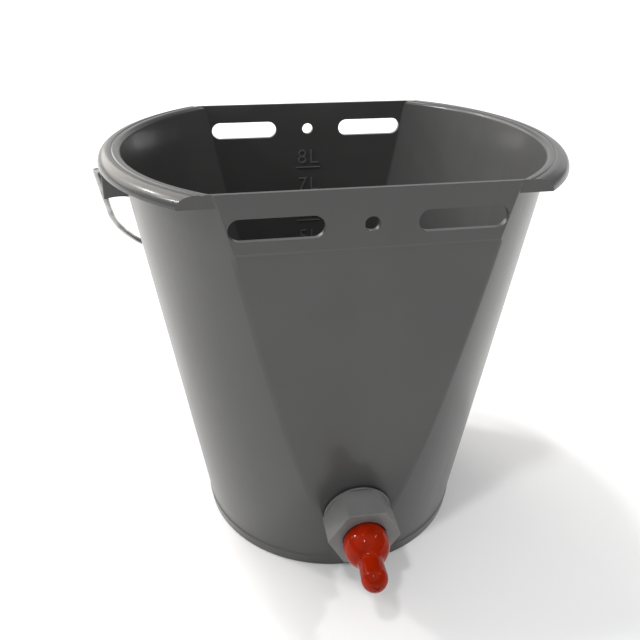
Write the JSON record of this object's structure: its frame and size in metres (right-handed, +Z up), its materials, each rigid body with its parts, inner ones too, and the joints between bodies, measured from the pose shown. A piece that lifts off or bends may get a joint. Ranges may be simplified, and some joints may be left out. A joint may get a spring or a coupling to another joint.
{
  "type": "calf feeding bucket",
  "caption": "Round-ended plastic feeding bucket with two flat slotted panels, a valved rubber teat low on the front and a wire bail.",
  "frame": {"origin": "centre of the standing face, on the ground", "axes": "+X along the long axis to the right, -Y out of the teat panel, +Z up"},
  "size_m": [0.3016, 0.2666, 0.277],
  "materials": {
    "bucket_plastic": "moulded grey polypropylene, glossy outside",
    "nut_plastic": "satin grey moulded plastic",
    "wire_steel": "drawn galvanised steel wire",
    "red_rubber": "glossy red rubber",
    "black_rubber": "black rubber",
    "ball_plastic": "white plastic ball"
  },
  "bodies": {
    "bucket": {"bucket_body": "bucket_plastic", "clamp_nut": "nut_plastic", "panel_gasket": "black_rubber", "inner_seal": "black_rubber", "valve_spigot": "nut_plastic", "valve_seat": "nut_plastic", "teat": "red_rubber"},
    "bail": {"bail_wire": "wire_steel"},
    "ball": {"valve_ball": "ball_plastic"}
  },
  "joints": [
    {"name": "bail_swing", "type": "hinge", "parent": "bucket", "child": "bail", "pos_m": [0, 0, 0.262], "axis": [1, 0, 0], "range_deg": [0, 273.8]},
    {"name": "ball_lift", "type": "slide", "parent": "bucket", "child": "ball", "axis": [0, -0.999, -0.0458], "range_m": [0, 0.0035]}
  ]
}
